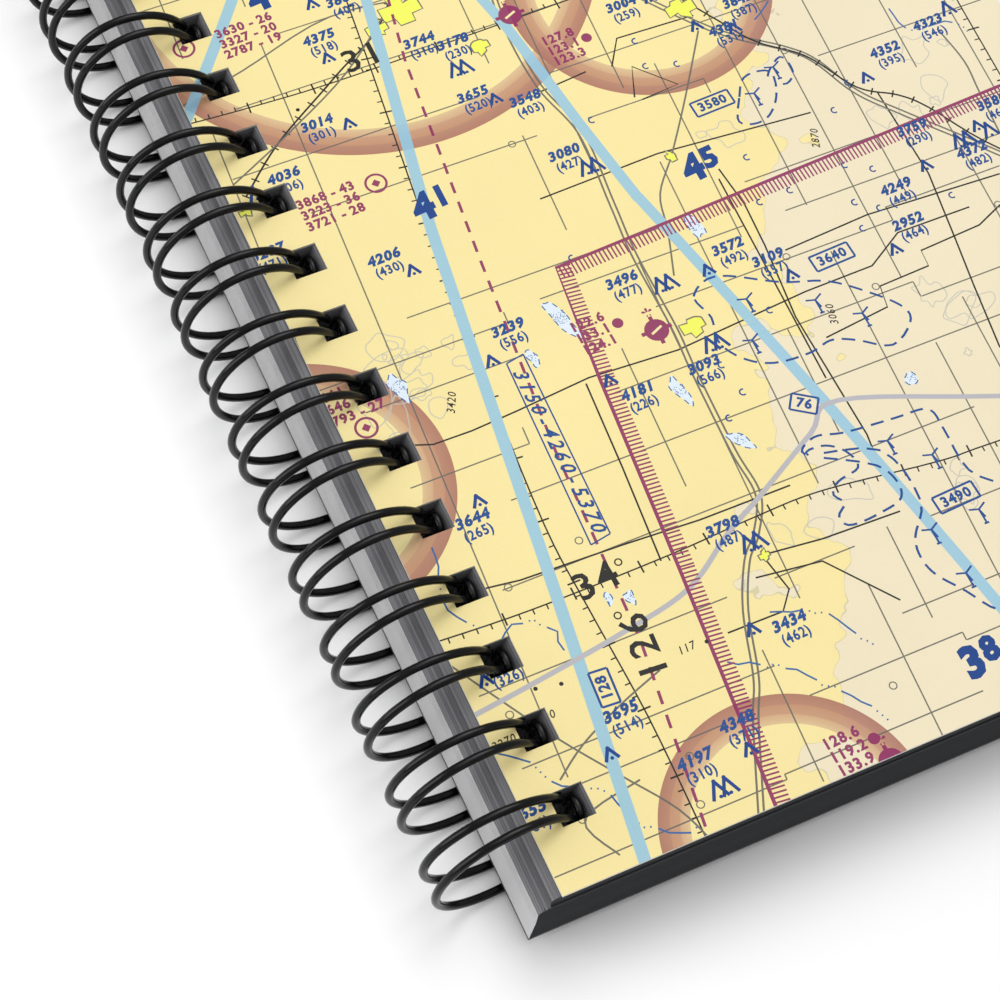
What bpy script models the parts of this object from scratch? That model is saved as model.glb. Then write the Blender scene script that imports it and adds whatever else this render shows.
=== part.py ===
"""Pilot logbook: a thick half-letter notebook held by a black twin-loop wire.

Units are metres, +Z is up and the book lies closed on its back.  The spine runs along Y on the
-X side.  Every turning piece has its origin on the hinge axis, which is the axis of the wire
rings.  The working frame below has x = 0 on the front cover's row of holes and z = 0 on the
table; FRAME_X moves it so that the origin is the middle of the object's footprint.
"""

import math

import bmesh
import bpy

MM = 0.001

# ---- punching and covers ----------------------------------------------------------------
PITCH = 12.7 * MM               # two holes per inch
LOOPS = 16
END_MARGIN = 12.15 * MM         # last hole's centre to the head or foot of the book
SPINE_MARGIN = 7.25 * MM        # hole centre to the spine edge of any sheet
WIDTH = 140.0 * MM              # sheet width across the spine
HOLE = 5.45 * MM                # square hole in the front cover and the first leaves
HOLE_LONG = 6.5 * MM            # length along the spine of the holes below them
LENGTH = (LOOPS - 1) * PITCH + 2 * END_MARGIN

# ---- wire ----------------------------------------------------------------------------------
WIRE = 1.4 * MM                 # wire diameter
RING_R = 11.5 * MM              # ring radius, to the middle of the wire
RING_X = -11.15 * MM            # hinge axis, from the front cover's holes
RING_Z = RING_R + WIRE / 2      # the rings stand on the table
LEG_NEAR = 1.62 * MM            # half the gap between a loop's two legs, at the holes
LEG_FAR = 2.28 * MM             # the same on the far side of the ring
SEAM_X = -1.0 * MM              # straight runs that join one loop to the next
SEAM_Z = 16.8 * MM
TIP_X, TIP_Z = 0.7 * MM, 15.9 * MM     # where the rounded end of each loop begins
TIP_REACH = 0.95 * MM

# ---- the stack, from the table up --------------------------------------------------------
LIFT = WIRE + 1.4 * MM          # the wire passes under the back cover
BACK_T = 0.6 * MM
FRONT_T = 0.5 * MM
TOP = LIFT + 15.6 * MM          # upper face of the front cover
GAP = 0.06 * MM                 # air between neighbouring pieces
LEAF_T = 0.12 * MM

FIRST_LEAVES = 22               # leaves in the section that holds the wire's seam
SECOND_LEAVES = 10
FAN_GROUPS = 6                  # groups that open like a fan
FAN_LEAVES = 5
REST_SECTIONS = 10              # the part of the block that stays on the back cover

# How far a sheet's holes stand out past the front cover's, by height: they follow the rings.
LEAN = [(2.8, -4.9), (3.4, -4.85), (4.2, -3.95), (5.5, -3.1), (7.5, -2.1), (10.0, -1.4),
        (12.5, -1.2), (15.2, -1.1), (17.85, -0.35)]
# How far its spine edge does: the upper leaves have slid back like a fan, the block is square.
SLIDE = [(2.8, -4.3), (10.0, -3.55), (13.95, -3.5), (15.15, -1.7), (15.2, -1.5), (17.85, -0.6)]

RING_OUT = RING_X - RING_R - WIRE / 2 - 0.06 * MM        # outermost point of the rings
FRAME_X = -((WIDTH - SPINE_MARGIN) + RING_OUT) / 2


def clear_scene():
    for obj in list(bpy.data.objects):
        bpy.data.objects.remove(obj, do_unlink=True)


def collection(name, hidden=False):
    made = bpy.data.collections.new(name)
    bpy.context.scene.collection.children.link(made)
    made.hide_render = hidden
    return made


def material(name, colour, roughness, metallic=0.0):
    made = bpy.data.materials.new(name)
    made.use_nodes = True
    shader = made.node_tree.nodes["Principled BSDF"]
    shader.inputs["Base Color"].default_value = (*colour, 1.0)
    shader.inputs["Roughness"].default_value = roughness
    shader.inputs["Metallic"].default_value = metallic
    return made


def offset(table, z):
    """Sideways offset at height z, read off a table of (height, offset) in millimetres."""
    z = z / MM
    if z <= table[0][0]:
        return table[0][1] * MM
    for (z0, x0), (z1, x1) in zip(table, table[1:]):
        if z <= z1:
            return (x0 + (x1 - x0) * (z - z0) / (z1 - z0)) * MM
    return table[-1][1] * MM


def prism(name, x_low, x_high, y_spans, z_span, shifts, home):
    """Boxes in a row whose upper faces are slid along X against their lower faces."""
    bm = bmesh.new()
    for y_span in y_spans:
        for vertex in bmesh.ops.create_cube(bm, size=1.0)["verts"]:
            upper = vertex.co.z > 0
            vertex.co = ((x_high if vertex.co.x > 0 else x_low) + shifts[upper],
                         y_span[vertex.co.y > 0], z_span[upper])
    mesh = bpy.data.meshes.new(name)
    bm.to_mesh(mesh)
    bm.free()
    obj = bpy.data.objects.new(name, mesh)
    home.objects.link(obj)
    return obj


def subtract(obj, cutter, label):
    cut = obj.modifiers.new(label, "BOOLEAN")
    cut.operation = "DIFFERENCE"
    cut.solver = "EXACT"
    cut.object = cutter
    cutter.display_type = "WIRE"
    cutter.hide_render = True


def on_hinge(obj):
    """Move a piece into the final frame and put its origin on the ring axis."""
    axis_x, axis_z = RING_X + FRAME_X, RING_Z
    for vertex in obj.data.vertices:
        vertex.co.x += FRAME_X - axis_x
        vertex.co.z -= axis_z
    obj.location = (axis_x, 0.0, axis_z)


def hole_centre(k):
    return (k - (LOOPS - 1) / 2) * PITCH


def punched(name, z0, z1, mat, hole_length, leaning=True):
    """One cover or one group of leaves, punched with the row of square holes."""
    slide, lean = ([offset(table, z) if leaning else 0.0 for z in (z0, z1)]
                   for table in (SLIDE, LEAN))
    half = LENGTH / 2
    sheet = prism(name, -SPINE_MARGIN, WIDTH - SPINE_MARGIN, [(-half, half)], (z0, z1), slide,
                  parts)
    spans = [(hole_centre(k) - hole_length / 2, hole_centre(k) + hole_length / 2)
             for k in range(LOOPS)]
    over = 1.0 * MM
    slope = (lean[1] - lean[0]) / (z1 - z0)
    cutter = prism(name + "_holes", -HOLE / 2, HOLE / 2, spans, (z0 - over, z1 + over),
                   (lean[0] - slope * over, lean[1] + slope * over), cutters)
    subtract(sheet, cutter, "holes")
    sheet.data.materials.append(mat)
    for obj in (sheet, cutter):
        on_hinge(obj)
    return sheet


# ---- covers and leaves -----------------------------------------------------------------------

def build_stack():
    cover_mat = material("front_card", (0.90, 0.82, 0.45), 0.42)
    back_mat = material("back_card", (0.075, 0.075, 0.08), 0.55)
    leaf_mat = material("leaf_paper", (0.42, 0.42, 0.42), 0.8)

    punched("front_cover", TOP - FRONT_T, TOP, cover_mat, HOLE, leaning=False)
    punched("back_cover", LIFT, LIFT + BACK_T, back_mat, HOLE_LONG)

    # leaf groups from the front cover down
    z = TOP - FRONT_T - GAP
    counts = [("leaves_first", FIRST_LEAVES), ("leaves_second", SECOND_LEAVES)]
    counts += [("leaves_fan_%d" % (i + 1), FAN_LEAVES) for i in range(FAN_GROUPS)]
    for name, leaves in counts:
        height = leaves * LEAF_T
        first = name == "leaves_first"
        group = punched(name, z - height, z, leaf_mat, HOLE if first else HOLE_LONG)
        if first:
            seam_slot(group, z - height, z)
        z -= height + GAP

    # what is left is shared out over the sections that stay on the back cover
    floor = LIFT + BACK_T + GAP
    height = (z - floor - (REST_SECTIONS - 1) * GAP) / REST_SECTIONS
    for i in range(REST_SECTIONS):
        punched("leaves_rest_%02d" % (i + 1), z - height, z, leaf_mat, HOLE_LONG)
        z -= height + GAP


def seam_slot(group, z0, z1):
    """A channel along the holes, where the wire's straight runs lie under the front cover."""
    reach = hole_centre(LOOPS - 1) + HOLE / 2 + 2.2 * MM
    over = 0.7 * MM
    slot = prism(group.name + "_slot", SEAM_X - 1.1 * MM, SEAM_X + 1.1 * MM, [(-reach, reach)],
                 (z0 - over, z1 + over), (0.0, 0.0), cutters)
    on_hinge(slot)
    subtract(group, slot, "seam slot")


# ---- wire --------------------------------------------------------------------------------------

def leg(y_mid, side):
    """Centreline of one leg, from the seam under the cover round to the loop's tip."""
    bend = 0.9 * MM
    start = [(SEAM_X, -LEG_NEAR - bend, SEAM_Z),
             (SEAM_X, -LEG_NEAR - bend * (1 - math.sin(math.pi / 4)),
              SEAM_Z + bend * (1 - math.cos(math.pi / 4))),
             (SEAM_X, -LEG_NEAR, SEAM_Z + bend)]
    points = [(x, y_mid - side * y, z) for x, y, z in start]
    first, last, steps = 34.0, 372.0, 14
    outer = RING_R / math.cos(math.radians((last - first) / steps / 4))
    for i in range(steps + 1):
        angle = first + (last - first) * i / steps
        spread = (1 - math.cos(math.radians(angle - 14))) / 2
        y = LEG_NEAR + (LEG_FAR - LEG_NEAR) * spread
        points.append((RING_X + outer * math.cos(math.radians(angle)), y_mid + side * y,
                       RING_Z + outer * math.sin(math.radians(angle))))
    return points


def tip(y_mid, side):
    """The rounded end that turns one leg into the other."""
    lead = (0.35, 0.94)
    points = []
    for i in range(5):
        angle = math.pi * i / 4
        along = TIP_REACH * math.sin(angle)
        points.append((TIP_X + lead[0] * along, y_mid + side * LEG_NEAR * math.cos(angle),
                       TIP_Z + lead[1] * along))
    return points


def build_wire():
    path = []
    for k in range(LOOPS):
        y = hole_centre(k)
        path += leg(y, -1) + tip(y, -1) + leg(y, 1)[::-1]
    tail = 1.2 * MM
    path.insert(0, (SEAM_X, path[0][1] - tail, SEAM_Z))
    path.append((SEAM_X, path[-1][1] + tail, SEAM_Z))

    curve = bpy.data.curves.new("wire_binding", "CURVE")
    curve.dimensions = "3D"
    spline = curve.splines.new("POLY")
    spline.points.add(len(path) - 1)
    for point, (x, y, z) in zip(spline.points, path):
        point.co = (x - RING_X, y, z - RING_Z, 1.0)
    curve.bevel_depth = WIRE / 2
    curve.bevel_resolution = 1
    curve.use_fill_caps = True
    wire = bpy.data.objects.new("wire_binding", curve)
    wire.location = (RING_X + FRAME_X, 0.0, RING_Z)
    parts.objects.link(wire)
    curve.materials.append(material("black_wire", (0.012, 0.012, 0.013), 0.3))


clear_scene()
parts = collection("pilot_logbook")
cutters = collection("cutters", hidden=True)
build_stack()
build_wire()
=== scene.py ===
"""Looks for the pilot logbook: chart-printed cover, loose leaves, back card and twin-loop wire.

Everything is in metres in the CAD frame.  The cover's print is laid out in millimetres on the
card, u to the right from the spine edge and v up from the foot edge.
"""

import math
import random

import bmesh
import bpy
from mathutils import Matrix, Vector
from mathutils.geometry import convex_hull_2d, delaunay_2d_cdt


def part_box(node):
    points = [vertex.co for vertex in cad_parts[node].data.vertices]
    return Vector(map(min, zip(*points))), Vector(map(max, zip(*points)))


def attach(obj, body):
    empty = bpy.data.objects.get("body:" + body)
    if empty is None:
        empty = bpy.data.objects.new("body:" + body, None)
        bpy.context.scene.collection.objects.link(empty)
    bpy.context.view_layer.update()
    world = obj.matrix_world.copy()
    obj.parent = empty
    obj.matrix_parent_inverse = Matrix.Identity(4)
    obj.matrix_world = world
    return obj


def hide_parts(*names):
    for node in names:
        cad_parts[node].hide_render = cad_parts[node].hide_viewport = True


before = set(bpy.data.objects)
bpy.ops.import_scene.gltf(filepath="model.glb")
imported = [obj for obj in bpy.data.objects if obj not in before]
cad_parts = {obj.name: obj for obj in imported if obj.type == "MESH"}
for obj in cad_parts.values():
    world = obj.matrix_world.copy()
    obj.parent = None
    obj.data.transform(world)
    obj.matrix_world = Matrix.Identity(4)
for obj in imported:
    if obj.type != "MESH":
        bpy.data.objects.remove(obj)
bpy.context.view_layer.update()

MM = 0.001
PITCH = 12.7                     # from one hole to the next
LOOPS = 16
HOLE = 5.45                      # square holes in the front cover and the first leaves
LEAF_HOLE = 8.8                  # the holes below them are longer along the spine

cover_low, cover_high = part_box("front_cover")
wire_low, wire_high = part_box("wire_binding")
SPINE_X, FORE_X = cover_low.x, cover_high.x
FOOT_Y, HEAD_Y = cover_low.y, cover_high.y
WIDTH, LENGTH = (FORE_X - SPINE_X) / MM, (HEAD_Y - FOOT_Y) / MM
HOLE_U = 7.25                    # hole row, from the spine edge
HOLE_X = SPINE_X + HOLE_U * MM


def hole_v(k):
    """Where hole k lies along the card, in millimetres from the foot edge."""
    return LENGTH / 2 + (k - (LOOPS - 1) / 2) * PITCH


# ---- node materials ----

def srgb(code):
    """'#rrggbb' as linear RGB."""
    values = [int(code[i:i + 2], 16) / 255 for i in (1, 3, 5)]
    return tuple(v / 12.92 if v <= 0.04045 else ((v + 0.055) / 1.055) ** 2.4 for v in values)


class Nodes:
    """Short ways to build a node tree around one Principled shader."""

    def __init__(self, name, roughness=0.5, **settings):
        self.material = bpy.data.materials.new(name)
        self.material.use_nodes = True
        self.tree = self.material.node_tree
        self.shader = self.tree.nodes["Principled BSDF"]
        self.shader.inputs["Roughness"].default_value = roughness
        for socket, value in settings.items():
            self.shader.inputs[socket.replace("_", " ")].default_value = value

    def add(self, kind, inputs=(), **settings):
        node = self.tree.nodes.new("ShaderNode" + kind)
        for key, value in settings.items():
            setattr(node, key, value)
        for key, value in dict(inputs).items():
            self.put(node.inputs[key], value)
        return node

    def put(self, socket, value):
        if isinstance(value, bpy.types.NodeSocket):
            self.tree.links.new(value, socket)
        elif isinstance(value, bpy.types.Node):
            self.tree.links.new(value.outputs[0], socket)
        elif socket.type == "RGBA" and len(value) == 3:
            socket.default_value = (*value, 1.0)
        else:
            socket.default_value = value

    def math(self, operation, *values, clamp=False):
        return self.add("Math", enumerate(values), operation=operation,
                        use_clamp=clamp).outputs[0]

    def mix(self, factor, a, b, blend="MIX"):
        node = self.add("Mix", data_type="RGBA", blend_type=blend)
        for index, value in ((0, factor), (6, a), (7, b)):
            self.put(node.inputs[index], value)
        return node.outputs[2]

    def ramp(self, value, stops):
        """A colour for each value between 0 and 1; stops are (value, linear RGB)."""
        node = self.add("ValToRGB", {0: value})
        elements = node.color_ramp.elements
        while len(elements) < len(stops):
            elements.new(0.5)
        for element, (at, colour) in zip(elements, stops):
            element.position = at
            element.color = (*colour, 1.0)
        return node.outputs[0]

    def place(self):
        """Object coordinates: metres in the CAD frame."""
        return self.add("TexCoord").outputs["Object"]

    def noise(self, scale, detail, stretch=None):
        vector = self.place()
        if stretch:
            vector = self.add("Mapping", {"Vector": vector, "Scale": stretch}).outputs[0]
        return self.add("TexNoise", {"Vector": vector, "Scale": scale, "Detail": detail,
                                     "Roughness": 0.5}).outputs["Fac"]

    def colour(self, value):
        self.put(self.shader.inputs["Base Color"], value)

    def rough(self, value):
        self.put(self.shader.inputs["Roughness"], value)

    def bump(self, height, strength, distance):
        self.put(self.shader.inputs["Normal"],
                 self.add("Bump", {"Height": height, "Strength": strength,
                                   "Distance": distance}).outputs[0])


def grey(value):
    return (value, value, value)


def new_object(name, data, *materials):
    """A new object of the scene that shows that mesh, curve, camera or light."""
    for material in materials:
        data.materials.append(material)
    obj = bpy.data.objects.new(name, data)
    bpy.context.scene.collection.objects.link(obj)
    return obj


# ---- chart print: the drawing kit ----

INKS = {                         # colour and how much of the paper it hides
    "paper": ("#FFFFFF", 0.0), "sky": ("#8CC0D8", 0.88), "blue": ("#1B4A8C", 1.0),
    "navy": ("#0F3F86", 1.0), "magenta": ("#8A1F5C", 0.96), "black": ("#23221E", 1.0),
    "grey": ("#66645C", 0.95), "light": ("#BDBBB0", 0.8), "town": ("#EDF05E", 1.0),
    "route": ("#ADADB8", 0.9), "water": ("#DCE8F2", 1.0), "lake": ("#34659E", 1.0),
    "tan": ("#F0E2A8", 1.0),
}
ink_polygons = []                # (outline in mm, ink name), later ones over earlier ones


def fill(outline, ink):
    ink_polygons.append(([Vector(p) for p in outline], ink))


def spline(points, closed=False, steps=6):
    """Catmull-Rom curve through the points."""
    pts = [Vector(p) for p in points]
    if len(pts) < 3:
        return pts
    n = len(pts)
    out = []
    for i in range(n if closed else n - 1):
        p = [pts[j % n] if closed else pts[min(max(j, 0), n - 1)] for j in range(i - 1, i + 3)]
        for s in range(steps):
            t = s / steps
            out.append(0.5 * (2 * p[1] + (p[2] - p[0]) * t
                              + (2 * p[0] - 5 * p[1] + 4 * p[2] - p[3]) * t * t
                              + (3 * p[1] - p[0] - 3 * p[2] + p[3]) * t ** 3))
    out.append(out[0].copy() if closed else pts[-1])
    return out


def resample(path, step):
    """Points at equal steps along a path."""
    path = [Vector(p) for p in path]
    out, left = [path[0].copy()], step
    for a, b in zip(path, path[1:]):
        span = (b - a).length
        while span >= left and span > 0:
            a = a + (b - a) * (left / span)
            out.append(a)
            span = (b - a).length
            left = step
        left -= span
    return out


def normals(path):
    out = []
    for i in range(len(path)):
        d = path[min(i + 1, len(path) - 1)] - path[max(i - 1, 0)]
        d = d.normalized() if d.length else Vector((1, 0))
        out.append(Vector((-d.y, d.x)))
    return out


def stroke(path, width, ink, offset=0.0):
    path = [Vector(p) for p in path]
    side = normals(path)
    for i in range(len(path) - 1):
        a, b = path[i] + side[i] * offset, path[i + 1] + side[i + 1] * offset
        corners = [a + side[i] * width / 2, a - side[i] * width / 2,
                   b - side[i + 1] * width / 2, b + side[i + 1] * width / 2]
        fill([corners[j] for j in convex_hull_2d(corners)], ink)


DASH_STEP = 0.25                 # spacing of the points that a dashed line is cut into


def dashes(path, width, ink, pattern):
    """pattern is (drawn, blank, drawn, blank ...) in mm."""
    path = resample(path, DASH_STEP)
    at, index = 0.0, 0
    run = []
    for point in path:
        if index % 2 == 0:
            run.append(point)
        at += DASH_STEP
        if at >= pattern[index % len(pattern)]:
            if len(run) > 1:
                stroke(run[::max(1, len(run) // 3)] if len(run) > 4 else [run[0], run[-1]],
                       width, ink)
            run, at, index = [], 0.0, index + 1


def frame_lines(corners, width, ink):
    """Straight strokes from corner to corner, square at the corners."""
    for a, b in zip(corners, corners[1:]):
        stroke([a, b], width, ink)


def ticks(path, spacing, length, width, ink, side=0.0):
    path = resample(path, spacing)
    for point, normal in zip(path, normals(path)):
        stroke([point + normal * (side - 0.5) * length, point + normal * (side + 0.5) * length],
               width, ink)


def circle(centre, radius, sides=20):
    return [Vector(centre) + Vector((math.cos(2 * math.pi * i / sides),
                                     math.sin(2 * math.pi * i / sides))) * radius
            for i in range(sides)]


def ring(centre, radius, width, ink, sides=24):
    points = circle(centre, radius, sides)
    stroke(points + [points[0], points[1]], width, ink)


def blob(rng, centre, size, lobes=9, stretch=1.0, turn=0.0):
    """A wandering closed outline."""
    out = []
    for i in range(lobes):
        angle = 2 * math.pi * i / lobes
        radius = size * rng.uniform(0.55, 1.25)
        p = Vector((math.cos(angle) * radius * stretch, math.sin(angle) * radius / stretch))
        p.rotate(Matrix.Rotation(turn, 2))
        out.append(Vector(centre) + p)
    return spline(out, closed=True, steps=4)


glyph_cache = {}


def glyphs(text, bold, slant):
    """The text's filled shapes as polygons, 1 unit high, starting at the origin."""
    key = (text, bold, slant)
    if key not in glyph_cache:
        curve = bpy.data.curves.new("figures", "FONT")
        curve.body = text
        curve.resolution_u = 2
        curve.offset = bold
        curve.shear = slant
        curve.align_x = "CENTER"
        curve.align_y = "CENTER"
        obj = new_object("figures", curve)
        bpy.context.view_layer.update()
        mesh = bpy.data.meshes.new_from_object(obj.evaluated_get(
            bpy.context.evaluated_depsgraph_get()))
        glyph_cache[key] = [[mesh.vertices[v].co.xy.copy() for v in face.vertices]
                            for face in mesh.polygons]
        bpy.data.objects.remove(obj)
        bpy.data.curves.remove(curve)
        bpy.data.meshes.remove(mesh)
    return glyph_cache[key]


CAP_HEIGHT = 0.72                # of a figure, as a share of the font's size
ADVANCE = 0.56                   # from one figure to the next, on the same scale
NARROW = {"(": 0.62, ")": 0.62, ".": 0.55, " ": 0.5, "-": 0.7}


def figures(text, at, height, ink, turn=0.0, bold=0.0, slant=0.0, wide=1.0):
    """Figures of that height, centred on a point."""
    size = height / CAP_HEIGHT
    turned = Matrix.Rotation(turn, 2)
    spans = [ADVANCE * size * wide * NARROW.get(letter, 1.0) for letter in text]
    along = -sum(spans) / 2
    for letter, span in zip(text, spans):
        start = Vector((along + span / 2, 0))
        along += span
        for shape in glyphs(letter, bold, slant):
            fill([Vector(at) + turned @ (start + Vector((p.x * wide, p.y)) * size)
                  for p in shape], ink)


# ---- chart print: what is on the chart ----

rng = random.Random(41)


def caret(at, tall, twin):
    """An obstruction: an open arrow head over a dot."""
    height, half = (3.1, 1.3) if tall else (2.2, 1.1)
    for shift in ([-0.85, 0.85] if twin else [0.0]):
        u, v = at[0] + shift, at[1]
        for sign in (-1, 1):
            stroke([(u + sign * half, v), (u - sign * 0.12, v + height)], 0.55, "navy")
        fill(circle((u, v + 0.3), 0.3, 8), "navy")


def spot_height(at, mark, tall, twin):
    """Two lines of figures and, at mark from them, the obstruction that they belong to."""
    turn = 0.04
    above_ground = rng.randint(205, 569)
    down = Vector((math.sin(turn), -math.cos(turn))) * 2.45
    figures(str(rng.randint(2950, 4390)), at, 1.85, "blue", turn, bold=0.05, slant=0.22,
            wide=1.02)
    figures("(%d)" % above_ground, Vector(at) + down, 1.75, "blue", turn, bold=0.03, wide=0.86)
    if mark:
        caret(Vector(at) + Vector(mark), tall, twin)


def boxed(text, at, turn):
    """Figures in a frame."""
    u, v = Vector((math.cos(turn), math.sin(turn))), Vector((-math.sin(turn), math.cos(turn)))
    w, h = 0.72 * len(text) + 0.75, 1.5
    corners = [Vector(at) + u * (a * w) + v * (b * h) for a, b in
               ((-1, -1), (1, -1), (1, 1), (-1, 1), (-1, -1))]
    frame_lines(corners, 0.38, "blue")
    figures(text, at, 1.75, "blue", turn, bold=0.04)


def airport(at):
    """A disc with a pale runway and four services marks."""
    fill(circle(at, 2.05, 24), "magenta")
    along = Vector((math.cos(0.4), math.sin(0.4)))
    stroke([Vector(at) - along * 1.15, Vector(at) + along * 1.15], 0.42, "tan")
    for side in ((1, 0), (0, 1), (-1, 0), (0, -1)):
        side = Vector(side)
        stroke([Vector(at) + side * 1.9, Vector(at) + side * 2.7], 0.7, "magenta")
    figures("*", Vector(at) + Vector((0, 2.6)), 3.0, "magenta", bold=0.02)


def rows_of_figures(at, pattern, first, second, slip):
    """Three rows of random figures beside an airport or a field."""
    for row in range(3):
        figures(pattern % (rng.randint(*first), rng.randint(*second)),
                Vector(at) + Vector((slip * row, -2.3 * row)), 1.75, "magenta", 0.04, bold=0.042)


def private_field(at):
    """A ring around a small diamond."""
    ring(at, 1.75, 0.42, "magenta")
    fill(circle(at, 0.8, 4), "magenta")


def town(at, size):
    """A built-up area with square corners."""
    reach = [size * rng.uniform(0.55, 1.1) for _ in range(8)]
    turned = Matrix.Rotation(0.05, 2)
    steps = ((1, 0.45, 0), (0.5, 0.5, 1), (0.45, 1, 2), (-0.45, 1, 3), (-0.5, 0.5, 4),
             (-1, 0.4, 5), (-1, -0.45, 5), (-0.5, -0.5, 6), (-0.4, -1, 6), (0.45, -1, 7),
             (0.5, -0.5, 7), (1, -0.4, 0))
    outline = [Vector(at) + turned @ Vector((a * reach[i], b * reach[i])) for a, b, i in steps]
    fill(outline, "town")
    stroke(outline + outline[:1], 0.28, "grey")


def lake(at, size, stretch, turn):
    """A pond with a broken shore line and dotted water."""
    outline = blob(rng, at, size, 9, stretch, turn)
    fill(outline, "water")
    dashes(outline, 0.2, "lake", (1.1, 0.35))
    for i in range(int(size * size * 9)):
        p = Vector(at) + Vector((rng.uniform(-1, 1), rng.uniform(-1, 1))) * size * 0.5
        fill(circle(p, 0.09, 5), "lake")


def windmill(at):
    """Three blades on a stem."""
    at, size = Vector(at), 1.9
    top = at + Vector((0, size * 0.55))
    stroke([at - Vector((0, size * 0.8)), top], 0.34, "blue")
    stroke([at - Vector((size * 0.22, size * 0.8)), at + Vector((size * 0.22, -size * 0.8))],
           0.34, "blue")
    for angle in (0.5, math.pi - 0.3, -1.35):
        stroke([top, top + Vector((math.cos(angle), math.sin(angle))) * size * 0.85], 0.32,
               "blue")


def airway(points):
    """A wide pale-blue band."""
    stroke(resample(points, 12.0) + [Vector(points[-1])], 1.95, "sky")


def highway(points):
    """A double line."""
    path = spline(points, steps=8)
    stroke(path, 0.34, "grey", 0.42)
    stroke(path, 0.34, "grey", -0.42)


def road(points):
    stroke(spline(points, steps=5), 0.32, "grey")


def railway(points):
    """A line with a tick across it every few millimetres."""
    path = spline(points, steps=6)
    stroke(path, 0.34, "black")
    ticks(path, 3.6, 1.5, 0.28, "black")


def grid_line(points, side):
    """A line of latitude or longitude, with a tick every few minutes on one side."""
    path = spline(points, steps=5)
    stroke(path, 0.26, "black")
    ticks(path, 2.3, 0.9, 0.24, "black", side=0.5 * side)
    ticks(path, 11.5, 2.2, 0.3, "black")


def stream(points):
    """A thin wandering line with breaks of three dots."""
    path, size = resample(spline(points, steps=10), 1.2), 0.9
    path = [p + Vector((rng.uniform(-size, size), rng.uniform(-size, size))) * 0.5 for p in path]
    path = spline(path, steps=3)
    dashes(path, 0.3, "lake", (5.5, 0.6, 0.3, 0.5, 0.3, 0.5, 0.3, 0.6))


def draw_contours():
    """Pale contour lines in clusters."""
    for u, v, count in ((16, 92, 8), (20, 84, 5), (10, 84, 4), (100, 62, 5), (78, 112, 2),
                        (118, 108, 6), (60, 176, 6), (100, 188, 7), (126, 34, 6), (86, 36, 3),
                        (63, 40, 3), (128, 150, 6)):
        for _ in range(count):
            at = (u + rng.gauss(0, 4), v + rng.gauss(0, 4))
            outline = blob(rng, at, rng.uniform(0.5, 3.2), rng.randint(7, 13),
                           rng.uniform(0.8, 1.4), rng.uniform(0, 3))
            stroke(outline, 0.2, "light")


def draw_section_roads():
    """Long thin lines on a slightly turned grid, broken here and there."""
    for v in (3, 14.5, 20, 33, 47.5, 61, 69, 84, 90.5, 97.5, 122, 133, 146, 158, 171, 183, 196,
              207):
        u = rng.uniform(-5, 20)
        while u < WIDTH:
            end = u + rng.uniform(14, 46)
            jog = rng.choice((0.0, 0.0, rng.uniform(-3.5, 3.5)))
            stroke([(u, v), (end, v)], 0.24, "grey")
            if jog:
                stroke([(end, v), (end + jog * 0.06, v + jog)], 0.24, "grey")
            u = end + rng.choice((0.0, rng.uniform(6, 24)))
            v += jog
    lean = 0.06
    for u in (-6, 7.5, 43, 52, 63, 70, 83, 92, 100, 113, 124):
        v = rng.uniform(-5, 30)
        while v < LENGTH:
            end = v + rng.uniform(16, 52)
            stroke([(u + v * lean, v), (u + end * lean, end)], 0.24, "grey")
            v = end + rng.choice((0.0, rng.uniform(8, 34)))
    for points in (
            [(47.7, 110.2), (69.9, 111.0), (98.0, 108.7)], [(56.9, 130.0), (66.0, 130.9)],
            [(7.8, 76.5), (12.7, 74.7), (19.3, 74.6), (27.3, 75.1), (40.5, 76.2), (56.0, 75.3),
             (80.4, 77.2), (93.0, 77.4), (100.1, 81.5), (113.8, 81.4)],
            [(81.0, 85.6), (97.0, 86.6), (122.0, 85.3)],
            [(79.4, 68.1), (91.5, 69.4), (92.3, 73.4), (101.7, 73.8), (102.0, 76.9),
             (113.6, 77.6), (118.9, 79.8)],
            [(110.7, 108.2), (110.7, 89.9), (108.6, 77.5), (106.8, 67.4), (104.9, 55.5)],
            [(78.1, 104.3), (78.9, 96.3), (78.3, 87.7), (76.6, 73.5), (77.0, 49.7), (76.3, 45)],
            [(77.2, 102.5), (75.8, 61.4)], [(39.6, 75.4), (38.4, 59.6), (36.8, 42.5)],
            [(70.6, 130.2), (74.0, 135.3), (88.6, 134.8)],
            [(71.4, 122.9), (73.8, 128.9), (79.5, 122.6), (72.4, 122.0)],
            [(51.5, 37.3), (61.7, 36.1), (75.3, 35.6)],
            [(49.0, 34.2), (59.9, 32.7), (67.9, 22.1)],
            [(51.9, 36.1), (52.9, 30.5), (50.3, 27.5), (40.8, 27.6)],
            [(0, 50.3), (15.4, 48.0), (32.4, 47.3), (45.5, 46.5), (61.4, 46.4)]):
        stroke(points, 0.3, "black")


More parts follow.
